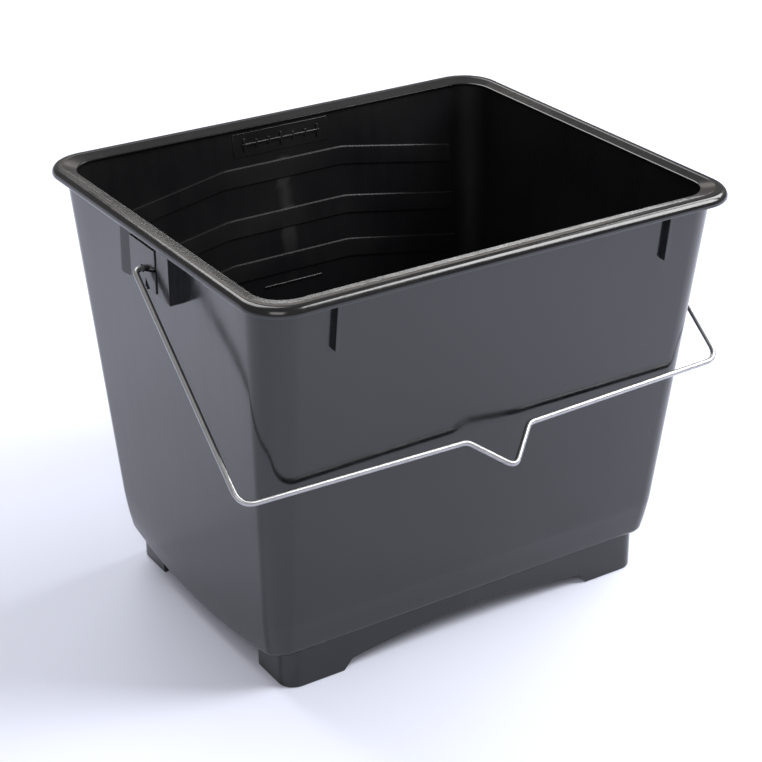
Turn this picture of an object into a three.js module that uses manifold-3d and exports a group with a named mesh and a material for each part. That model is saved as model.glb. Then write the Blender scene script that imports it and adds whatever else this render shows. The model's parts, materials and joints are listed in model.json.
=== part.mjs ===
// Rectangular moulded bucket with a wire bail handle.
// Millimetres, +Z up. The origin is on the ground under the middle of the bucket,
// +X runs along its long sides and +Y from the front wall to the back wall.
// The bail is at rest against the front wall and turns about the X axis through its pivots.

import * as THREE from 'three';
import { mergeVertices } from 'three/addons/utils/BufferGeometryUtils.js';
import Module from 'manifold-3d';

const wasm = await Module();
wasm.setup();

// ---- driving dimensions ------------------------------------------------------------------

const HEIGHT = 169;
const WALL = 2.1;
const FLOOR_LEVEL = 17.3;       // where the outer walls end at the front and the back
const WALL_TOP = 165.2;         // underside of the rim

const BASE = { halfLength: 88.8, halfWidth: 63.0, corner: 7.5 };    // outer wall at FLOOR_LEVEL
const TOP = { halfLength: 98.6, halfWidth: 82.0, corner: 15.0 };    // outer wall at WALL_TOP

const RIM = { halfLength: 102.5, halfWidth: 88.0, corner: 17.3, plate: 2.0, lip: 1.8, depth: 3.8 };

const BELLY = { lowest: 7.0, edge: 17.3 };      // the floor sags from front and back to the middle

const SKIRT = { halfLength: 82.6, halfWidth: 60.9, corner: 8.3, top: 19 };
const ARCH = { footEnd: 57.6, footTop: 4.4, slant: 3.8, crown: 8.8 };
const END_FOOT = 38.4;                          // the end feet run from here to the corners

const BOSS = { halfWidth: 18.6, bottom: 148.2, face: 102.2, plate: 2.0, side: 2.0 };
const PIVOT = { height: 154.6, hole: 1.5 };

const GUSSET = { x: 71.1, thickness: 1.3, reach: 3.6, bottom: 146.5 };

const WIRE = { radius: 1.1, sides: 10 };
const BAIL = {
  pivotHalfSpan: 105.6,
  barHalfSpan: 106.75,
  reach: 96.6,                  // pivot axis to the crossbar's ends
  endInside: 98.5,              // the turned-in ends stop here
  pivotBend: 2.6,
  barBend: 6.5,
  tilt: 51.2,                   // degrees from straight down, towards the front
};
const NOTCH = { halfWidth: 14.0, start: 98.6, apex: 113.1, shoulderBend: 5.0, apexBend: 3.6 };

const CORNER_SEGMENTS = 8;
const FAR = 300;                                // larger than the whole object

// ---- booleans ----------------------------------------------------------------------------

// Keeps the positions only and merges them, which is what a boolean needs.
function toSolid(geometry) {
  const bare = geometry.clone();
  bare.deleteAttribute('normal');
  bare.deleteAttribute('uv');
  const merged = mergeVertices(bare, 1e-5);
  return new wasm.Manifold(new wasm.Mesh({
    numProp: 3,
    vertProperties: new Float32Array(merged.attributes.position.array),
    triVerts: new Uint32Array(merged.index.array),
  }));
}

function toGeometry(solid) {
  const mesh = solid.getMesh();
  const geometry = new THREE.BufferGeometry();
  geometry.setAttribute('position', new THREE.BufferAttribute(new Float32Array(mesh.vertProperties), 3));
  geometry.setIndex(new THREE.BufferAttribute(new Uint32Array(mesh.triVerts), 1));
  geometry.computeVertexNormals();
  return geometry;
}

const union = (solids) => solids.reduce((all, solid) => all.add(solid));

// ---- shape helpers -----------------------------------------------------------------------

// A square of half size 2 whose corners are unit arcs: the pattern that loft() stretches.
function unitOutline() {
  const shape = new THREE.Shape();
  shape.moveTo(2, -1);
  shape.lineTo(2, 1);
  shape.absarc(1, 1, 1, 0, Math.PI / 2, false);
  shape.lineTo(-1, 2);
  shape.absarc(-1, 1, 1, Math.PI / 2, Math.PI, false);
  shape.lineTo(-2, -1);
  shape.absarc(-1, -1, 1, Math.PI, 1.5 * Math.PI, false);
  shape.lineTo(1, -2);
  shape.absarc(1, -1, 1, 1.5 * Math.PI, 2 * Math.PI, false);
  return shape;
}

// Stretches one coordinate of the unit outline to a side of the given half size and corner.
function stretch(value, half, corner) {
  const straight = THREE.MathUtils.clamp(value, -1, 1);
  return straight * (half - corner) + (value - straight) * corner;
}

// A solid through rounded rectangles, one per station { z, halfLength, halfWidth, corner }.
function loft(stations) {
  const steps = stations.length - 1;
  const options = { depth: steps, steps, bevelEnabled: false, curveSegments: CORNER_SEGMENTS };
  const geometry = new THREE.ExtrudeGeometry(unitOutline(), options);
  const position = geometry.attributes.position;
  for (let i = 0; i < position.count; i += 1) {
    const station = stations[Math.round(position.getZ(i))];
    const x = stretch(position.getX(i), station.halfLength, station.corner);
    const y = stretch(position.getY(i), station.halfWidth, station.corner);
    position.setXYZ(i, x, y, station.z);
  }
  return toSolid(geometry);
}

// The outer wall's rounded rectangle at height z, moved inwards by the given amount.
function wallStation(z, inset = 0) {
  const t = (z - FLOOR_LEVEL) / (WALL_TOP - FLOOR_LEVEL);
  return {
    z,
    halfLength: THREE.MathUtils.lerp(BASE.halfLength, TOP.halfLength, t) - inset,
    halfWidth: THREE.MathUtils.lerp(BASE.halfWidth, TOP.halfWidth, t) - inset,
    corner: Math.max(THREE.MathUtils.lerp(BASE.corner, TOP.corner, t) - inset, 1),
  };
}

const rimStation = (z, inset = 0) => ({
  z,
  halfLength: RIM.halfLength - inset,
  halfWidth: RIM.halfWidth - inset,
  corner: RIM.corner - inset,
});

const skirtStation = (z, inset = 0) => ({
  z,
  halfLength: SKIRT.halfLength - inset,
  halfWidth: SKIRT.halfWidth - inset,
  corner: SKIRT.corner - inset,
});

function box(low, high) {
  const size = high.map((value, axis) => value - low[axis]);
  const geometry = new THREE.BoxGeometry(...size);
  geometry.translate(...low.map((value, axis) => value + size[axis] / 2));
  return toSolid(geometry);
}

// Extrudes a shape drawn in Y and Z along X, from one X to another.
function alongX(shape, from, to) {
  const geometry = new THREE.ExtrudeGeometry(shape, { depth: to - from, bevelEnabled: false, curveSegments: 12 });
  geometry.applyMatrix4(new THREE.Matrix4().set(0, 0, 1, from, 1, 0, 0, 0, 0, 1, 0, 0, 0, 0, 0, 1));
  return toSolid(geometry);
}

// Extrudes a shape drawn in X and Z along Y, from one Y to another.
function alongY(shape, from, to) {
  const geometry = new THREE.ExtrudeGeometry(shape, { depth: to - from, bevelEnabled: false, curveSegments: 12 });
  geometry.applyMatrix4(new THREE.Matrix4().set(1, 0, 0, 0, 0, 0, -1, to, 0, 1, 0, 0, 0, 0, 0, 1));
  return toSolid(geometry);
}

// ---- bucket ------------------------------------------------------------------------------

// Everything above the sagging floor, whose section in Y and Z is a shallow arc.
function aboveBelly(thickness) {
  const half = BASE.halfWidth;
  const sag = BELLY.edge - BELLY.lowest;
  const shape = new THREE.Shape();
  shape.moveTo(-FAR, FAR);
  shape.lineTo(-FAR, BELLY.edge + thickness);
  shape.lineTo(-half, BELLY.edge + thickness);
  shape.quadraticCurveTo(0, BELLY.edge + thickness - 2 * sag, half, BELLY.edge + thickness);
  shape.lineTo(FAR, BELLY.edge + thickness);
  shape.lineTo(FAR, FAR);
  return alongX(shape, -FAR, FAR);
}

function vesselOutside() {
  return loft([wallStation(0), wallStation(WALL_TOP), wallStation(HEIGHT - RIM.plate / 2)])
    .intersect(aboveBelly(0));
}

function vesselInside() {
  return loft([wallStation(0, WALL), wallStation(HEIGHT + 1, WALL)])
    .intersect(aboveBelly(WALL));
}

// A flat plate round the mouth with a lip that hangs from its outer edge.
function rim() {
  const plate = loft([rimStation(HEIGHT - RIM.depth), rimStation(HEIGHT)]);
  const under = loft([rimStation(HEIGHT - RIM.depth - 1, RIM.lip), rimStation(HEIGHT - RIM.plate, RIM.lip)]);
  return plate.subtract(under);
}

// The skirt's front and back walls stand on feet at the corners and arch between them.
function archOpening() {
  const shape = new THREE.Shape();
  shape.moveTo(-ARCH.footEnd, -1);
  shape.lineTo(-ARCH.footEnd, 0);
  shape.lineTo(-ARCH.footEnd + ARCH.slant, ARCH.footTop);
  shape.quadraticCurveTo(0, 2 * ARCH.crown - ARCH.footTop, ARCH.footEnd - ARCH.slant, ARCH.footTop);
  shape.lineTo(ARCH.footEnd, 0);
  shape.lineTo(ARCH.footEnd, -1);
  return alongY(shape, -FAR, FAR);
}

// Between the end feet the skirt is left out, up to the vessel.
function endOpening() {
  const shape = new THREE.Shape();
  shape.moveTo(-END_FOOT, -1);
  shape.lineTo(-END_FOOT + ARCH.slant, SKIRT.top + 1);
  shape.lineTo(END_FOOT - ARCH.slant, SKIRT.top + 1);
  shape.lineTo(END_FOOT, -1);
  return alongX(shape, -FAR, FAR);
}

function skirt() {
  return loft([skirtStation(0), skirtStation(SKIRT.top)])
    .subtract(loft([skirtStation(-1, WALL), skirtStation(SKIRT.top + 1, WALL)]))
    .subtract(archOpening())
    .subtract(endOpening());
}

// A hollow block under the rim, open below, whose outer plate holds the wire's end.
function boss(side) {
  const from = 94;
  const span = (low, high) => (side > 0 ? [low, high] : [-high, -low]);
  const block = span(from, BOSS.face);
  const hollow = span(from - 1, BOSS.face - BOSS.plate);
  const inner = BOSS.halfWidth - BOSS.side;
  const top = HEIGHT - RIM.plate;
  const hole = new THREE.CylinderGeometry(PIVOT.hole, PIVOT.hole, 12, 20);
  hole.rotateZ(Math.PI / 2);
  hole.translate(side * BOSS.face, 0, PIVOT.height);
  return box([block[0], -BOSS.halfWidth, BOSS.bottom], [block[1], BOSS.halfWidth, top + 0.5])
    .subtract(box([hollow[0], -inner, BOSS.bottom - 1], [hollow[1], inner, top]))
    .subtract(toSolid(hole));
}

// A thin rib under the rim's front or back edge, with a chamfered lower end.
function gusset(x, side) {
  const wall = wallStation(GUSSET.bottom).halfWidth;
  const reach = wallStation(WALL_TOP).halfWidth + GUSSET.reach;
  const top = HEIGHT - RIM.plate / 2;
  const root = wall - WALL / 2;
  const shape = new THREE.Shape();
  shape.moveTo(side * root, GUSSET.bottom);
  shape.lineTo(side * wall, GUSSET.bottom);
  shape.lineTo(side * reach, GUSSET.bottom + (reach - wall));
  shape.lineTo(side * reach, top);
  shape.lineTo(side * root, top);
  return alongX(shape, x - GUSSET.thickness / 2, x + GUSSET.thickness / 2);
}

function bucketBody() {
  const sides = [-1, 1];
  const gussets = sides.flatMap((side) => sides.map((end) => gusset(end * GUSSET.x, side)));
  const solid = union([vesselOutside(), rim(), skirt(), ...sides.map(boss), ...gussets])
    .subtract(vesselInside());
  return toGeometry(solid);
}

// ---- bail handle -------------------------------------------------------------------------

// Joins the corners of a flat outline with straight lines and rounds each corner by its bend.
function roundedPath(corners) {
  const path = new THREE.CurvePath();
  let last = corners[0].point;
  for (let i = 1; i < corners.length - 1; i += 1) {
    const { point, bend } = corners[i];
    const back = corners[i - 1].point.clone().sub(point).normalize();
    const on = corners[i + 1].point.clone().sub(point).normalize();
    const half = back.angleTo(on) / 2;
    const enter = point.clone().addScaledVector(back, bend / Math.tan(half));
    const leave = point.clone().addScaledVector(on, bend / Math.tan(half));
    path.add(new THREE.LineCurve3(last, enter));
    path.add(new THREE.QuadraticBezierCurve3(enter, point, leave));
    last = leave;
  }
  path.add(new THREE.LineCurve3(last, corners[corners.length - 1].point));
  return path;
}

// The bail's corners in its own plane: X across, and the distance from the pivot axis.
function bailCorners() {
  const direction = THREE.MathUtils.degToRad(BAIL.tilt);
  const place = (x, out) => new THREE.Vector3(
    x,
    -out * Math.sin(direction),
    PIVOT.height - out * Math.cos(direction),
  );
  const half = [
    { point: place(BAIL.endInside, 0), bend: 0 },
    { point: place(BAIL.pivotHalfSpan, 0), bend: BAIL.pivotBend },
    { point: place(BAIL.barHalfSpan, BAIL.reach), bend: BAIL.barBend },
    { point: place(NOTCH.halfWidth, NOTCH.start), bend: NOTCH.shoulderBend },
  ];
  const mirrored = half.map(({ point, bend }) => ({ point: point.clone().setX(-point.x), bend }));
  return [...mirrored, { point: place(0, NOTCH.apex), bend: NOTCH.apexBend }, ...half.reverse()];
}

// Sweeps the wire's section along the path, one ring per point, with even turns in the bends.
class BailCurve extends THREE.Curve {
  constructor(path, perBend) {
    super();
    const points = path.curves.flatMap((curve) => {
      const straight = curve.isLineCurve3;
      return straight ? [curve.v1] : curve.getPoints(perBend).slice(0, -1);
    });
    points.push(path.curves[path.curves.length - 1].v2);
    this.points = points;
  }

  getPoint(t, target = new THREE.Vector3()) {
    const at = t * (this.points.length - 1);
    const index = Math.min(Math.floor(at), this.points.length - 2);
    return target.lerpVectors(this.points[index], this.points[index + 1], at - index);
  }

  getPointAt(t, target) {
    return this.getPoint(t, target);
  }
}

function bailHandle() {
  const curve = new BailCurve(roundedPath(bailCorners()), 5);
  const section = new THREE.Shape();
  section.absarc(0, 0, WIRE.radius, 0, 2 * Math.PI, false);
  const options = {
    steps: curve.points.length - 1,
    curveSegments: WIRE.sides / 2,
    extrudePath: curve,
    bevelEnabled: false,
  };
  return toGeometry(toSolid(new THREE.ExtrudeGeometry(section, options)));
}

// ---- assembly ----------------------------------------------------------------------------

const blackPolypropylene = new THREE.MeshStandardMaterial({ color: 0x1a1a1d, roughness: 0.32, metalness: 0 });
const zincWire = new THREE.MeshStandardMaterial({ color: 0xc9ccd2, roughness: 0.25, metalness: 1 });

function part(name, geometry, material) {
  const mesh = new THREE.Mesh(geometry, material);
  mesh.name = name;
  return mesh;
}

const bucket = new THREE.Group();
bucket.add(part('bucket_body', bucketBody(), blackPolypropylene));
bucket.add(part('bail_handle', bailHandle(), zincWire));

export default bucket;
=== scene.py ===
"""A black moulded bucket with a zinc-plated wire bail, on a pale studio floor.

The CAD frame gives the outer sizes, the pivots and the bodies. This script adds the fine
surfaces: the rounded rim, the curved underside, the bosses that hold the wire, the relief
on the inner back wall, and the two materials. Sizes are in millimetres, and the meshes
are scaled to metres as they are made.
"""

import json
import math

import bmesh
import bpy
import numpy as np
from mathutils import Euler, Matrix, Vector


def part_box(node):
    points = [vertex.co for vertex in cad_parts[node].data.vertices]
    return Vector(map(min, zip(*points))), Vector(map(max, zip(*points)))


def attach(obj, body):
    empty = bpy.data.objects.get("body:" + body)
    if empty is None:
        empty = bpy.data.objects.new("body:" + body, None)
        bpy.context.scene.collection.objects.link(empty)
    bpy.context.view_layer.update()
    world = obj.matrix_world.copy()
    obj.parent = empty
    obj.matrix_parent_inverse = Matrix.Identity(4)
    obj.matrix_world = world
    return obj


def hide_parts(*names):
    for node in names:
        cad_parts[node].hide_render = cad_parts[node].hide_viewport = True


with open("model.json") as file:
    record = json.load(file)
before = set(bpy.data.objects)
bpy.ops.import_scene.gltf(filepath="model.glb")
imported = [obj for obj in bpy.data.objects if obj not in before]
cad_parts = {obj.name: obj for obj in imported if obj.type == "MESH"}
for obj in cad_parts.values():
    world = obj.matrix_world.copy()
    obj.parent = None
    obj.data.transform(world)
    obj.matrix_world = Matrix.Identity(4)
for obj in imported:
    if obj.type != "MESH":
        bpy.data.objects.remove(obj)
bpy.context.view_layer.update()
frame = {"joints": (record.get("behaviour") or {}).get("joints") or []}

# ---- driving dimensions, in millimetres ----------------------------------------------------

MM = 0.001
RIM_X, RIM_Y, HEIGHT = (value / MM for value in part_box("bucket_body")[1])
PIVOT_Z = frame["joints"][0]["pos_m"][2] / MM

WALL = 2.1
RIM_PLATE = 2.0                   # thickness of the rim
RIM_UNDERSIDE = HEIGHT - RIM_PLATE
FLOOR_EDGE = 16.0                 # where the front and back walls end
BASE = {"x": 88.8, "y": 63.0, "corner": 8.2}        # outer wall at FLOOR_EDGE
TOP = {"x": 98.6, "y": 82.0, "corner": 14.2}        # outer wall at TOP_LEVEL
TOP_LEVEL = 165.2
BOW = 0.5                         # how far the long walls and the rim bow inwards
END_BOW = 1.4                     # how far the end walls bow inwards at the top

TANGENT = 31.4                    # the walls curve into the underside below this level
BELLY = 6.6                       # lowest point of the underside
END_CURVE = 1.0                   # how far the end walls have curved in at the bottom
BOTTOM_FILLET = 3.5               # between the walls and the underside
FLOOR_FILLET = 3.5                # between the walls and the floor, inside
STRAIGHT = (36.0, 160.0)          # the walls have evenly spaced rings between these levels
WALL_END = 166.2                  # the walls' last ring, below the rim
WALL_FLARE = 0.6                  # the outer wall spreads by this much to meet the rim

RIM_CORNER = 15.6                 # radius of the rim's outer corners
MOUTH = {"x": 95.0, "y": 78.6, "corner": 11.8}      # inner edge of the rim
RIM_BEAD = 2.1                    # width of the rounded outer edge
BEAD_DROP = 3.0                   # and its height
RIM_SKIRT = 3.8                   # height of the lip
RIM_EDGE = 1.8                    # height of the inner edge

SKIRT = {"x": 82.8, "y": 60.9, "corner": 6.8}       # outer face of the skirt
END_FOOT = 39.4                   # each foot runs from here, on an end wall, round the corner
FOOT_END = 57.6                   # and stops here on a long wall
FOOT_TOP = 4.4                    # height at which the foot's slanted end meets the arch
FOOT_SLANT = 3.8                  # width of the slanted end
ARCH_CROWN = 8.8                  # height of the arch in the middle
SKIRT_EDGE = [(0.0, 0.6), (0.15, 0.18), (0.55, 0.0)]   # rounds its lower edge: inset, rise

BOSS = {"face": 101.9, "half": 19.4, "bottom": 146.6, "plate": 2.0, "root": 95.8, "cover": 1.2}
PANEL = {"half": 9.8, "top": 164.4, "bottom": 147.9, "proud": 0.5, "root": 1.4}
GROOVE = {"width": 0.45, "depth": 0.9}              # the gap round the panel
RECESS = {"depth": 1.8, "margin": 1.6, "cover": 3.5}   # cover: from the rim's top down to it
HOLE_RADIUS = 1.5
SLOT = {"below": 1.0, "width": 2.1, "rise": 2.7}    # from the hole to the panel's edge
PANEL_NOTCH = {"x": -2.0, "apex": 151.8, "left": -8.4, "right": -1.2}
CLEAR = 1.0                       # how far a cut runs past the surface that it opens
BOSS_BEVEL = 0.3
FINE_BEVEL = 0.18                 # for the panel and the marks

GUSSET = {"x": 71.1, "thickness": 1.3, "proud": 2.1, "bottom": 146.1, "root": 1.0, "bevel": 0.2}

RIB_TOPS = (151.6, 130.6, 111.7)  # levels of the three ribs on the inner back wall
RIB = {"flat": 28.3, "end": 82.0, "slope": 0.175, "bend": 1.2, "band": 7.7, "proud": 0.85}
RIB_ROUND = 0.5                   # rounding of a rib's edges
MARK = {"half": 22.2, "bottom": 155.6, "top": 165.4, "proud": 0.35, "line_end": 4.0}
TICK = {"width": 0.9, "raised": 0.5, "long": 2.6, "short": 1.6, "margin": 5.0, "count": 7}
LEVEL_LINE = {"half": 13.7, "height": 99.2, "width": 0.8, "proud": 0.5}
BURIED = 0.9                      # how deep the relief's roots lie in the wall

WIRE = 1.1                        # radius of the wire
CUT_END = 0.3                     # length of the rounding at each end of the wire
BAIL = {"tilt": 51.2, "span": 105.6, "bar": 106.75, "reach": 96.6, "end": 98.5}   # tilt: degrees
NOTCH = {"half": 14.0, "start": 98.6, "apex": 113.1}


# ---- mesh helpers --------------------------------------------------------------------------


def unit_outline(long_steps=30, short_steps=24, corner_steps=14):
    """A square of half size 2 whose corners are unit arcs: the pattern that ring() stretches."""
    points = []
    for quarter in range(4):
        turn = Matrix.Rotation(quarter * math.pi / 2, 2)
        steps = long_steps if quarter % 2 else short_steps
        side = [(2.0, -1 + 2 * i / steps) for i in range(steps)]
        angles = [i * math.pi / 2 / corner_steps for i in range(corner_steps)]
        corner = [(1 + math.cos(a), 1 + math.sin(a)) for a in angles]
        points += [turn @ Vector(p) for p in side + corner]
    return np.array(points)


OUTLINE = unit_outline()


def ring(size, z, inset_x=0.0, inset_y=0.0):
    """The rounded rectangle of the given size at level z, moved inwards."""
    core = np.clip(OUTLINE, -1, 1)
    corner = max(size["corner"] - min(inset_x, inset_y), 0.5)
    half = np.array([size["x"] - inset_x, size["y"] - inset_y])
    flat = core * (half - corner) + (OUTLINE - core) * corner
    return np.column_stack([flat, np.full(len(flat), z)])


def between(a, b, t):
    """The size a share t of the way from a to b."""
    return {key: a[key] + (b[key] - a[key]) * t for key in a}


def wall_size(z):
    """The outer wall's size at level z."""
    return between(BASE, TOP, (z - FLOOR_EDGE) / (TOP_LEVEL - FLOOR_EDGE))


def wall_y(z):
    """The outer long wall's distance from the middle at level z, before it bows."""
    return wall_size(z)["y"]


def make_mesh(name, points, faces):
    """An object with these points, in millimetres, and faces, with normals facing out."""
    data = bpy.data.meshes.new(name)
    data.from_pydata([tuple(p * MM) for p in np.asarray(points, float)], [], faces)
    built = bmesh.new()
    built.from_mesh(data)
    bmesh.ops.remove_doubles(built, verts=built.verts, dist=1e-7)
    bmesh.ops.recalc_face_normals(built, faces=built.faces)
    built.to_mesh(data)
    built.free()
    thing = bpy.data.objects.new(name, data)
    bpy.context.scene.collection.objects.link(thing)
    return thing


def lofted(name, rings):
    """A closed skin through equal rings of points, with a cap on the first and the last."""
    count = len(rings[0])
    faces = []
    for level in range(len(rings) - 1):
        for i in range(count):
            j = (i + 1) % count
            low, high = level * count, (level + 1) * count
            faces.append((low + i, low + j, high + j, high + i))
    last = (len(rings) - 1) * count
    faces.append(tuple(range(count))[::-1])
    faces.append(tuple(range(last, last + count)))
    return make_mesh(name, np.vstack(rings), faces)


def plate(name, outlines, low, high, bevel, place):
    """A flat plate with rounded edges. place(u, v, w) puts its points, from w low to w high."""
    curve = bpy.data.curves.new(name, "CURVE")
    curve.dimensions = "2D"
    curve.fill_mode = "BOTH"
    curve.extrude = (high - low) / 2 - bevel
    curve.bevel_depth = bevel
    curve.bevel_resolution = 2
    curve.offset = -bevel
    for outline in outlines:
        spline = curve.splines.new("POLY")
        spline.points.add(len(outline) - 1)
        spline.use_cyclic_u = True
        for point, (u, v) in zip(spline.points, outline):
            point.co = (u, v, 0, 1)
    drawn = bpy.data.objects.new(name, curve)
    data = bpy.data.meshes.new_from_object(drawn)
    points = [place(v.co.x, v.co.y, v.co.z + (low + high) / 2) for v in data.vertices]
    faces = [tuple(p.vertices) for p in data.polygons]
    bpy.data.objects.remove(drawn)
    return make_mesh(name, points, faces)


def combined(first, others, operation):
    """first joined with, or cut by, the others, which are used up."""
    for other in others:
        step = first.modifiers.new("combine", "BOOLEAN")
        step.operation = operation
        step.solver = "EXACT"
        step.object = other
    seen = first.evaluated_get(bpy.context.evaluated_depsgraph_get())
    data = bpy.data.meshes.new_from_object(seen)
    first.modifiers.clear()
    first.data = data
    for other in others:
        bpy.data.objects.remove(other)
    return first


# ---- bucket: vessel and rim ----------------------------------------------------------------


def underside(y):
    """Level of the curved underside at this distance from the middle."""
    return BELLY + (FLOOR_EDGE - BELLY) * (y / BASE["y"]) ** 2


def sagged(points):
    """Below TANGENT the section is squeezed towards the front and back, which curves the floor."""
    x, y, z = points.T
    share = np.maximum(TANGENT - z, 0) / (TANGENT - BELLY)
    return np.column_stack([x, y, z + share * (underside(y) - BELLY)])


def bowed(points):
    """The long walls are drawn in a little between the corners, most of all at the rim."""
    x, y, z = points.T
    pull = BOW * (1 - np.clip(x / TOP["x"], -1, 1) ** 2) * np.clip(z / HEIGHT, 0, 1)
    return np.column_stack([x, y - np.sign(y) * np.minimum(pull, abs(y)), z])


def waisted(points):
    """The end walls are drawn in between the corners, but the rim above them isn't."""
    x, y, z = points.T
    height = np.clip((z - TANGENT) / (HEIGHT - TANGENT), 0, 1)
    share = height * (1 - np.clip(y / BASE["y"], -1, 1) ** 2)
    return np.column_stack([x - np.sign(x) * END_BOW * share, y, z])


def end_inset(z):
    """How far the end walls have curved inwards at level z."""
    return END_CURVE * (max(TANGENT - z, 0) / (TANGENT - BELLY)) ** 3


def turn(steps):
    """Angles of a quarter turn."""
    return [math.pi / 2 * i / steps for i in range(steps + 1)]


def wall_rings(levels, thickness):
    """The wall's rings at these levels, a thickness inside the outer surface."""
    plain = [ring(wall_size(z), z, thickness + end_inset(z), thickness) for z in levels]
    return [waisted(points) for points in plain]


def bottom_rings(level, radius, thickness):
    """The fillet from the wall into the bottom at this level, then the bottom to its middle."""
    rings = []
    for angle in turn(5):
        z = level + radius * (1 - math.sin(angle))
        inwards = thickness + radius * (1 - math.cos(angle))
        rings.append(ring(wall_size(z), z, inwards + end_inset(z), inwards))
    edge = rings[-1]
    for share in np.linspace(1, 0.04, 12)[1:]:
        rings.append(edge * [share, share, 1])
    return rings


def rim_ring(across, drop):
    """The rim's ring a share of the way from its outer to its inner edge, below its top."""
    outer = {"x": RIM_X, "y": RIM_Y, "corner": RIM_CORNER}
    return ring(between(outer, MOUTH, across), HEIGHT - drop)


def rim_rings():
    """The rim, from the lip's inner face, over the bead and the ledge, to the inner edge."""
    width = RIM_X - MOUTH["x"]
    lip = [(0.28, 2.4), (0.28, 3.3), (0.27, 3.6), (0.24, RIM_SKIRT), (0.07, RIM_SKIRT)]
    lip += [(0.03, 3.65), (0.01, 3.35)]
    bead = [(RIM_BEAD * (1 - math.cos(a)) / width, BEAD_DROP * (1 - math.sin(a))) for a in turn(8)]
    top = [(0.32, 0.0), (0.40, 0.0), (0.455, 0.0), (0.475, 0.03), (0.49, 0.12)]
    ledge = [(0.51, 0.17), (0.62, 0.4), (0.75, 0.67), (0.88, 0.94), (0.94, 1.06), (0.98, 1.16)]
    edge = [(1.0, 1.34), (1.0, RIM_EDGE), (0.985, RIM_EDGE + 0.2)]
    return [rim_ring(across, drop) for across, drop in lip + bead + top + ledge + edge]


def vessel():
    """The bucket's whole skin: underside, outer walls, rim, inner walls and floor."""
    curved = [TANGENT - 3 * i for i in range(6)]
    outer_levels = curved[::-1] + list(np.linspace(*STRAIGHT, 18)) + [164.0, WALL_END]
    inner_levels = list(np.linspace(WALL_END, STRAIGHT[0], 20)) + curved
    under = waisted(ring(wall_size(RIM_UNDERSIDE), RIM_UNDERSIDE, -WALL_FLARE, -WALL_FLARE))
    plate_edge = rim_ring(0.29, RIM_PLATE)
    outside = bottom_rings(BELLY, BOTTOM_FILLET, 0)[::-1] + wall_rings(outer_levels, 0)
    inside = wall_rings(inner_levels, WALL) + bottom_rings(BELLY + WALL, FLOOR_FILLET, WALL)
    rings = outside + [under, plate_edge] + rim_rings() + inside
    return lofted("bucket_moulding", [bowed(sagged(points)) for points in rings])


# ---- bucket: skirt and feet ----------------------------------------------------------------


def skirt_edge(x, y):
    """Height of the skirt's lower edge: it stands on the feet and arches between them."""
    along, slant = abs(x), FOOT_END - FOOT_SLANT
    if abs(y) < SKIRT["y"] - SKIRT["corner"] or along > FOOT_END:
        return 0.0
    if along > slant:
        return FOOT_TOP * (FOOT_END - along) / FOOT_SLANT
    return FOOT_TOP + (ARCH_CROWN - FOOT_TOP) * (1 - (along / slant) ** 2)


def skirt_half():
    """The front skirt's line in plan, from one end foot round the corners to the other."""
    x, y, corner = SKIRT["x"], SKIRT["y"], SKIRT["corner"]
    middle_x, middle_y = x - corner, corner - y
    ends = [(x, -END_FOOT - (y - corner - END_FOOT) * i / 6) for i in range(6)]
    arc = [(middle_x + corner * math.cos(a), middle_y - corner * math.sin(a)) for a in turn(12)]
    stops = [FOOT_END + 0.4, FOOT_END, FOOT_END - FOOT_SLANT, FOOT_END - FOOT_SLANT - 0.6]
    long_side = [middle_x - 4 * i for i in range(1, 5)] + stops + list(np.linspace(50, 0, 21))
    half = ends + arc + [(value, -y) for value in long_side]
    return half + [(-px, py) for px, py in half[-2::-1]]


def skirt(side):
    """One skirt with its two feet, closed, with its top buried in the vessel."""
    line = np.array(skirt_half())
    ahead = np.gradient(line, axis=0)
    inwards = np.column_stack([ahead[:, 1], -ahead[:, 0]])
    inwards /= np.linalg.norm(inwards, axis=1)[:, None]
    rings = []
    for (x, y), direction in zip(line, inwards):
        edge = skirt_edge(x, y)
        top = underside(y) + WALL / 2
        section = [(0, top)] + [(inset, edge + rise) for inset, rise in SKIRT_EDGE]
        section += [(WALL - inset, edge + rise) for inset, rise in SKIRT_EDGE[::-1]]
        section += [(WALL, top)]
        rings.append(
            np.array([(x + direction[0] * d, side * -(y + direction[1] * d), z) for d, z in section])
        )
    return lofted("skirt", rings)


# ---- bucket: bosses and gussets ------------------------------------------------------------


def from_plan(u, v, w):
    """A plate drawn in plan, whose thickness is its height."""
    return (u, v, w)


def on_end(side):
    """A plate drawn in Y and Z that faces the end of the bucket."""
    return lambda u, v, w: (side * w, u, v)


def crosswise(side):
    """A plate drawn in Y and Z, whose thickness runs along the bucket."""
    return lambda u, v, w: (w, side * u, v)


def boss(side):
    """The hollow block under the rim that holds one end of the wire."""
    half, face, wall, root = BOSS["half"], BOSS["face"], BOSS["plate"], BOSS["root"]
    inside, back = half - wall, face - wall
    plan = [(root, -half), (face, -half), (face, half), (root, half)]
    plan += [(root, inside), (back, inside), (back, -inside), (root, -inside)]
    outline = [(side * x, y) for x, y in plan]
    top_level = HEIGHT - BOSS["cover"]
    block = plate("boss", [outline], BOSS["bottom"], top_level, BOSS_BEVEL, from_plan)
    inner, top, low = PANEL["half"], PANEL["top"], PANEL["bottom"]
    outline = [(-inner, low), (inner, low), (inner, top), (-inner, top)]
    low_face, high_face = face - PANEL["root"], face + PANEL["proud"]
    panel = plate("panel", [outline], low_face, high_face, FINE_BEVEL, on_end(side))
    return combined(combined(block, [groove(side), recess(side)], "DIFFERENCE"), [panel], "UNION")


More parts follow.
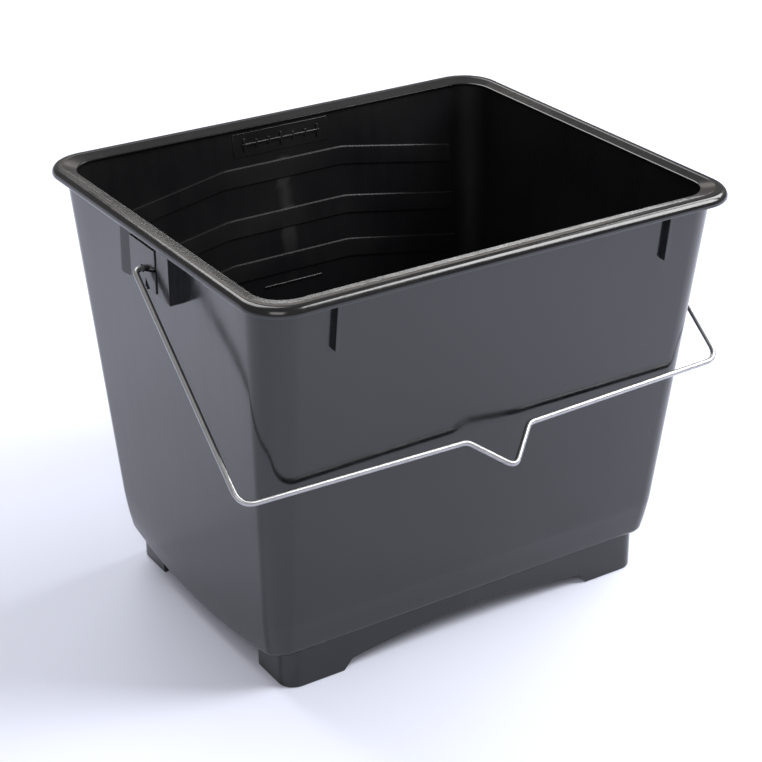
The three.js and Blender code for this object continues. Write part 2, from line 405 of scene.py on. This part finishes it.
def groove(side):
    """The narrow gap round the panel's top and sides."""
    inner, top, low, gap = PANEL["half"], PANEL["top"], PANEL["bottom"], GROOVE["width"]
    outer = inner + gap
    line = [(-outer, low), (-inner, low), (-inner, top), (inner, top), (inner, low)]
    line += [(outer, low), (outer, top + gap), (-outer, top + gap)]
    deepest, outside = BOSS["face"] - GROOVE["depth"], BOSS["face"] + 2 * CLEAR
    return plate("groove", [line], deepest, outside, 0.0, on_end(side))


def recess(side):
    """The slanted hollow in the block's face, beside the panel."""
    face, start, end = BOSS["face"], PANEL["half"], BOSS["half"] - RECESS["margin"]
    plan = [(face + CLEAR, start), (face - RECESS["depth"], start), (face, end), (face + CLEAR, end)]
    outline = [(side * x, y) for x, y in plan]
    low, high = BOSS["bottom"] - CLEAR, HEIGHT - RECESS["cover"]
    return plate("recess", [outline], low, high, 0.0, from_plan)


def boss_cuts(side):
    """The wire's hole, the slot that leads to it and the notch in the panel's lower edge."""
    low, high = BOSS["face"] - BOSS["plate"] - 1.2 * CLEAR, BOSS["face"] + 3 * CLEAR
    circle = [i * math.pi / 12 for i in range(24)]
    hole = [(HOLE_RADIUS * math.cos(a), PIVOT_Z + HOLE_RADIUS * math.sin(a)) for a in circle]
    end = -PANEL["half"] - 0.1
    under = PIVOT_Z - SLOT["below"]
    over = under + SLOT["width"]
    slot = [(0, under), (0, over), (end, over + SLOT["rise"]), (end, under + SLOT["rise"])]
    bottom = BOSS["bottom"] - CLEAR
    apex = (PANEL_NOTCH["x"], PANEL_NOTCH["apex"])
    notch = [apex, (PANEL_NOTCH["right"], bottom), (PANEL_NOTCH["left"], bottom)]
    return [plate("cut", [outline], low, high, 0.0, on_end(side)) for outline in (hole, slot, notch)]


def gusset(x, side):
    """A thin upright rib under the rim that follows the wall's slope."""
    low, high, proud, root = GUSSET["bottom"], HEIGHT - 1, GUSSET["proud"], GUSSET["root"]
    outline = [(wall_y(low) - root, low), (wall_y(low) + proud, low)]
    outline += [(wall_y(high) + proud, high), (wall_y(high) - root, high)]
    left, right = x - GUSSET["thickness"] / 2, x + GUSSET["thickness"] / 2
    return plate("gusset", [outline], left, right, GUSSET["bevel"], crosswise(side))


# ---- bucket: relief on the inner back wall -------------------------------------------------


def on_back_wall(u, v, w):
    """A plate drawn in X and Z that lies on the inner back wall and stands w proud of it."""
    place = bowed(np.array([[u, wall_y(v) - WALL, v]]))[0]
    return (place[0], place[1] - w, place[2])


def fall(x):
    """How far a rib has fallen from its level middle at this distance to the side."""
    past = abs(x) - RIB["flat"]
    return RIB["slope"] * (past + math.hypot(past, RIB["bend"])) / 2


def chevron(top):
    """One band that is level in the middle and falls away to both sides."""
    proud, edge, root = RIB["proud"], RIB_ROUND, -BURIED
    rings = []
    for x in np.linspace(-RIB["end"], RIB["end"], 71):
        high = top - fall(x)
        low = high - RIB["band"]
        section = [(low, root), (low, proud - edge), (low + 0.3 * edge, proud - 0.3 * edge)]
        section += [(low + edge, proud), (high - edge, proud)]
        section += [(high - 0.3 * edge, proud - 0.3 * edge), (high, proud - edge), (high, root)]
        rings.append(np.array([on_back_wall(x, z, w) for z, w in section]))
    return lofted("rib", rings)


def bar(x0, x1, z0, z1, proud):
    """A raised rectangle on the inner back wall."""
    outline = [(x0, z0), (x1, z0), (x1, z1), (x0, z1)]
    return plate("bar", [outline], -BURIED, proud, FINE_BEVEL, on_back_wall)


def fill_mark():
    """The plain fill mark: a raised plate with a level line and ticks, and no lettering."""
    half, low, high, proud = MARK["half"], MARK["bottom"], MARK["top"], MARK["proud"]
    middle, line, top = (low + high) / 2, TICK["width"] / 2, proud + TICK["raised"]
    pieces = [bar(-half, half, low, high, proud)]
    reach, last = half - MARK["line_end"], half - TICK["margin"]
    pieces.append(bar(-reach, reach, middle - line, middle + line, top))
    for i, x in enumerate(np.linspace(-last, last, TICK["count"])):
        rise = TICK["long"] if i % 3 == 0 else TICK["short"]
        pieces.append(bar(x - line, x + line, middle - rise, middle + rise, top))
    return pieces


def level_line():
    """The short line that marks half of the content."""
    half, height, half_width = LEVEL_LINE["half"], LEVEL_LINE["height"], LEVEL_LINE["width"] / 2
    return bar(-half, half, height - half_width, height + half_width, LEVEL_LINE["proud"])


def bucket_moulding():
    """The whole moulding as one closed mesh."""
    sides = (-1, 1)
    ribs = [chevron(top) for top in RIB_TOPS]
    gussets = [gusset(end * GUSSET["x"], side) for end in sides for side in sides]
    added = [skirt(side) for side in sides] + [boss(side) for side in sides]
    whole = combined(vessel(), added + gussets + ribs + fill_mark() + [level_line()], "UNION")
    return combined(whole, [cut for side in sides for cut in boss_cuts(side)], "DIFFERENCE")


# ---- bail ----------------------------------------------------------------------------------


def rounded_line(corners, steps=10):
    """Points along straight lines whose corners, given as (point, bend), are rounded."""
    points = [corners[0][0]]
    for (before, _), (point, bend), (after, _) in zip(corners, corners[1:], corners[2:]):
        back, on = (before - point).normalized(), (after - point).normalized()
        cut = bend / math.tan(back.angle(on) / 2)
        enter, leave = point + back * cut, point + on * cut
        for i in range(steps + 1):
            t = i / steps
            points.append(enter * (1 - t) ** 2 + point * 2 * t * (1 - t) + leave * t ** 2)
    return points + [corners[-1][0]]


def bail_line():
    """The wire's centre line in its own plane: X across and the distance from the pivots."""
    half = [
        (Vector((BAIL["end"], 0)), 0),
        (Vector((BAIL["span"], 0)), 2.6),
        (Vector((BAIL["bar"], BAIL["reach"])), 6.5),
        (Vector((NOTCH["half"], NOTCH["start"])), 5.0),
    ]
    mirrored = [(Vector((-p.x, p.y)), bend) for p, bend in half]
    return rounded_line(mirrored + [(Vector((0, NOTCH["apex"])), 3.6)] + half[::-1])


def bail_wire(sides=20):
    """The zinc wire, with slightly rounded cut ends."""
    line = np.array(bail_line())
    ahead = np.gradient(line, axis=0)
    ahead /= np.linalg.norm(ahead, axis=1)[:, None]
    across = np.column_stack([-ahead[:, 1], ahead[:, 0]])
    tilt = math.radians(BAIL["tilt"])
    down = np.array([0, -math.sin(tilt), -math.cos(tilt)])
    normal = np.array([0, -math.cos(tilt), math.sin(tilt)])
    flat_axes = np.array([[1, 0, 0], down])
    radii = np.full(len(line), WIRE)
    start, end = line[0] + ahead[0] * CUT_END, line[-1] - ahead[-1] * CUT_END
    line = np.vstack([line[:1], [start], line[1:-1], [end], line[-1:]])
    across = np.vstack([across[:1], across[:1], across[1:-1], across[-1:], across[-1:]])
    radii = np.concatenate([[WIRE * 0.72, WIRE], radii[1:-1], [WIRE, WIRE * 0.72]])
    rings = []
    for point, sideways, radius in zip(line, across, radii):
        centre = point @ flat_axes + np.array([0, 0, PIVOT_Z])
        angles = [2 * math.pi * i / sides for i in range(sides)]
        turns = [math.cos(a) * (sideways @ flat_axes) + math.sin(a) * normal for a in angles]
        rings.append(centre + radius * np.array(turns))
    return lofted("bail_wire", rings)


# ---- materials -----------------------------------------------------------------------------


class Graph:
    """A material's node tree, with short names for the nodes that it uses."""

    def __init__(self, name):
        self.material = bpy.data.materials.new(name)
        self.material.use_nodes = True
        self.tree = self.material.node_tree
        self.shader = self.tree.nodes["Principled BSDF"]
        coordinates = self.tree.nodes.new("ShaderNodeTexCoord")
        self.place = coordinates.outputs["Object"]
        self.facing = coordinates.outputs["Normal"]

    def feed(self, socket, value):
        """Links an output to a socket, or sets the socket's own value."""
        if isinstance(value, bpy.types.NodeSocket):
            self.tree.links.new(value, socket)
        else:
            socket.default_value = value

    def math(self, operation, *values):
        """One arithmetic step."""
        node = self.tree.nodes.new("ShaderNodeMath")
        node.operation = operation
        for socket, value in zip(node.inputs, values):
            self.feed(socket, value)
        return node.outputs[0]

    def stretched(self, scale, turn=(0, 0, 0)):
        """The place on the piece, turned and scaled."""
        node = self.tree.nodes.new("ShaderNodeMapping")
        self.feed(node.inputs["Vector"], self.place)
        node.inputs["Scale"].default_value = scale
        node.inputs["Rotation"].default_value = turn
        return node.outputs[0]

    def noise(self, place, scale, detail=3.0, roughness=0.5):
        """Cloudy noise around 0.5."""
        node = self.tree.nodes.new("ShaderNodeTexNoise")
        self.feed(node.inputs["Vector"], place)
        node.inputs["Scale"].default_value = scale
        node.inputs["Detail"].default_value = detail
        node.inputs["Roughness"].default_value = roughness
        return node.outputs[0]

    def spread(self, value, low, high, to_low=0.0, to_high=1.0):
        """Maps low..high to to_low..to_high, clamped."""
        node = self.tree.nodes.new("ShaderNodeMapRange")
        self.feed(node.inputs["Value"], value)
        limits = {"From Min": low, "From Max": high, "To Min": to_low, "To Max": to_high}
        for name, number in limits.items():
            node.inputs[name].default_value = number
        return node.outputs[0]

    def blend(self, share, first, second):
        """Mixes two colours."""
        node = self.tree.nodes.new("ShaderNodeMix")
        node.data_type = "RGBA"
        self.feed(node.inputs["Factor"], share)
        self.feed(node.inputs["A"], first)
        self.feed(node.inputs["B"], second)
        return node.outputs["Result"]

    def bump(self, height, distance, strength=1.0, below=None):
        """A relief, added to the one below, that a height of 1 lifts by this many metres."""
        node = self.tree.nodes.new("ShaderNodeBump")
        node.inputs["Strength"].default_value = strength
        node.inputs["Distance"].default_value = distance
        self.feed(node.inputs["Height"], height)
        if below is not None:
            self.feed(node.inputs["Normal"], below)
        return node.outputs[0]

    def inwards(self, middle):
        """1 where the surface faces this middle point of the piece, and 0 elsewhere."""
        offset = self.tree.nodes.new("ShaderNodeVectorMath")
        offset.operation = "SUBTRACT"
        self.feed(offset.inputs[0], self.place)
        offset.inputs[1].default_value = middle
        along = self.tree.nodes.new("ShaderNodeVectorMath")
        along.operation = "DOT_PRODUCT"
        self.feed(along.inputs[0], self.facing)
        self.feed(along.inputs[1], offset.outputs[0])
        return self.spread(along.outputs["Value"], -0.03, -0.01, 1.0, 0.0)

    def scratches(self, turn, scale, width):
        """Fine straight scratches that all run one way."""
        noise = self.noise(self.stretched(scale, turn), 1.0, 1.0)
        line = self.math("ABSOLUTE", self.math("SUBTRACT", noise, 0.5))
        return self.spread(line, 0.0, width, 1.0, 0.0)


def black_plastic():
    """Glossy black polypropylene with flow streaks, fine scratches and dull scuffs."""
    graph = Graph("black_polypropylene")
    cloud = graph.noise(graph.place, 22.0, 4.0)
    streaks = graph.noise(graph.stretched((160.0, 160.0, 9.0)), 1.0, 3.0)
    patches = graph.noise(graph.place, 9.0, 2.0)
    slanted = graph.scratches((0.0, 0.5, 0.3), (700.0, 700.0, 26.0), 0.006)
    crossing = graph.scratches((0.3, -0.9, 0.0), (900.0, 900.0, 22.0), 0.005)
    where = graph.spread(patches, 0.56, 0.72)
    marks = graph.math("MULTIPLY", graph.math("MAXIMUM", slanted, crossing), where)
    geometry = graph.tree.nodes.new("ShaderNodeNewGeometry")
    edges = graph.spread(geometry.outputs["Pointiness"], 0.52, 0.6)
    worn = graph.math("MULTIPLY", edges, graph.spread(cloud, 0.4, 0.65))
    tone = graph.spread(cloud, 0.35, 0.7)
    body = graph.blend(tone, (0.0045, 0.0046, 0.0056, 1), (0.0070, 0.0070, 0.0080, 1))
    scuffed = graph.blend(graph.math("MULTIPLY", marks, 0.25), body, (0.10, 0.10, 0.105, 1))
    colour = graph.blend(graph.math("MULTIPLY", worn, 0.35), scuffed, (0.06, 0.058, 0.056, 1))
    graph.feed(graph.shader.inputs["Base Color"], colour)
    dull = graph.spread(streaks, 0.3, 0.75, 0.13, 0.19)
    dull = graph.math("ADD", dull, graph.spread(cloud, 0.35, 0.75, -0.02, 0.05))
    dull = graph.math("ADD", dull, graph.math("MULTIPLY", marks, 0.09))
    inside = graph.inwards((0.0, 0.0, 0.1))
    dull = graph.math("ADD", dull, graph.math("MULTIPLY", inside, 0.13))
    graph.feed(graph.shader.inputs["Roughness"], dull)
    ripple = graph.bump(graph.noise(graph.place, 34.0, 2.0), 0.0004, 0.25)
    grain = graph.bump(graph.noise(graph.place, 1500.0, 2.0), 0.00004, 0.25, ripple)
    flow = graph.bump(streaks, 0.0001, 0.3, grain)
    cut = graph.bump(marks, 0.00005, 0.4, flow)
    graph.feed(graph.shader.inputs["Normal"], cut)
    graph.shader.inputs["IOR"].default_value = 1.55
    return graph.material


def zinc_wire():
    """Bright zinc-plated steel wire with drawing lines and dull spots."""
    graph = Graph("zinc_plated_wire")
    spots = graph.noise(graph.place, 260.0, 4.0, 0.6)
    lines = graph.noise(graph.stretched((60.0, 1600.0, 1600.0)), 1.0, 2.0)
    tone = graph.blend(graph.spread(spots, 0.3, 0.72), (0.44, 0.44, 0.45, 1), (0.36, 0.36, 0.37, 1))
    graph.feed(graph.shader.inputs["Base Color"], tone)
    graph.shader.inputs["Metallic"].default_value = 1.0
    spotted = graph.spread(spots, 0.3, 0.75, 0.34, 0.44)
    dull = graph.math("ADD", spotted, graph.spread(lines, 0.3, 0.7, 0.0, 0.06))
    graph.feed(graph.shader.inputs["Roughness"], dull)
    drawn = graph.bump(lines, 0.00001, 0.3)
    graph.feed(graph.shader.inputs["Normal"], graph.bump(spots, 0.00002, 0.15, drawn))
    return graph.material


def pale_floor():
    """Smooth studio paper of a pale, slightly blue white."""
    graph = Graph("studio_floor")
    tone = graph.spread(graph.noise(graph.place, 3.0, 2.0), 0.3, 0.7)
    colour = graph.blend(tone, (0.77, 0.80, 0.94, 1), (0.79, 0.82, 0.95, 1))
    graph.feed(graph.shader.inputs["Base Color"], colour)
    graph.shader.inputs["Roughness"].default_value = 0.9
    graph.shader.inputs["Specular IOR Level"].default_value = 0.1
    return graph.material


# ---- studio --------------------------------------------------------------------------------


def camera():
    """Looks down at the front wall and the left end."""
    data = bpy.data.cameras.new("camera")
    data.lens = 94.70
    data.sensor_width = 36.0
    seen = bpy.data.objects.new("camera", data)
    bpy.context.scene.collection.objects.link(seen)
    seen.location = (-0.3836, -0.6012, 0.43688)
    yaw, pitch, roll = (math.radians(a) for a in (32.41, 26.475, -0.34))
    aim = Euler((math.pi / 2 - pitch, 0, -yaw)).to_matrix() @ Matrix.Rotation(roll, 3, "Z")
    seen.rotation_euler = aim.to_euler()
    bpy.context.scene.camera = seen


def floor():
    """A wide pale floor that isn't part of the object."""
    half = 6000.0
    corners = np.array([(-half, -half, 0), (half, -half, 0), (half, half, 0), (-half, half, 0)])
    ground = make_mesh("studio_floor", corners, [(0, 1, 2, 3)])
    ground.data.materials.append(pale_floor())


def softbox(name, direction, distance, size, watts, colour=(1.0, 1.0, 1.0)):
    """A light of this width and height that faces the bucket."""
    data = bpy.data.lights.new(name, "AREA")
    data.shape = "RECTANGLE"
    data.size, data.size_y = size
    data.energy = watts
    data.color = colour
    lamp = bpy.data.objects.new(name, data)
    bpy.context.scene.collection.objects.link(lamp)
    away = Vector(direction).normalized()
    lamp.location = Vector((0, 0, HEIGHT * MM / 2)) + away * distance
    lamp.rotation_euler = away.to_track_quat("Z", "Y").to_euler()


def studio():
    """Dim surroundings, a key light at the front right, a fill light at the front left, one
    large light above and one beside, and two behind that the rim reflects."""
    world = bpy.data.worlds.new("studio")
    world.use_nodes = True
    background = world.node_tree.nodes["Background"]
    background.inputs["Color"].default_value = (1.0, 0.96, 0.93, 1)
    background.inputs["Strength"].default_value = 0.32
    bpy.context.scene.world = world
    bpy.context.scene.view_settings.view_transform = "Standard"
    warm = (1.0, 0.93, 0.88)
    softbox("key_light", (0.59, -0.44, 0.70), 1.3, (0.5, 0.8), 15.0)
    softbox("top_light", (-0.05, 0.8, 1.0), 2.2, (1.3, 1.3), 28.0)
    softbox("side_light", (1.0, 0.1, 0.85), 2.0, (0.9, 0.9), 20.0)
    softbox("rim_light", (0.445, 0.772, 0.48), 1.6, (0.7, 0.22), 0.55, warm)
    softbox("back_light", (0.56, 0.8, 0.055), 1.6, (0.6, 0.11), 0.7)
    softbox("fill_light", (-0.55, -0.65, 0.6), 2.0, (1.0, 1.0), 10.0)


# ---- assembly ------------------------------------------------------------------------------


def finished(piece, material):
    """Gives the piece its material and smooth shading with crisp edges."""
    piece.data.materials.clear()
    piece.data.materials.append(material)
    piece.data.shade_smooth()
    piece.data.set_sharp_from_angle(angle=math.radians(35))
    normals = piece.modifiers.new("even_normals", "WEIGHTED_NORMAL")
    normals.keep_sharp = True
    return piece


camera()
floor()
studio()

moulding = finished(bucket_moulding(), black_plastic())
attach(moulding, "bucket")
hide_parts("bucket_body")

wire = finished(bail_wire(), zinc_wire())
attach(wire, "bail")
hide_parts("bail_handle")
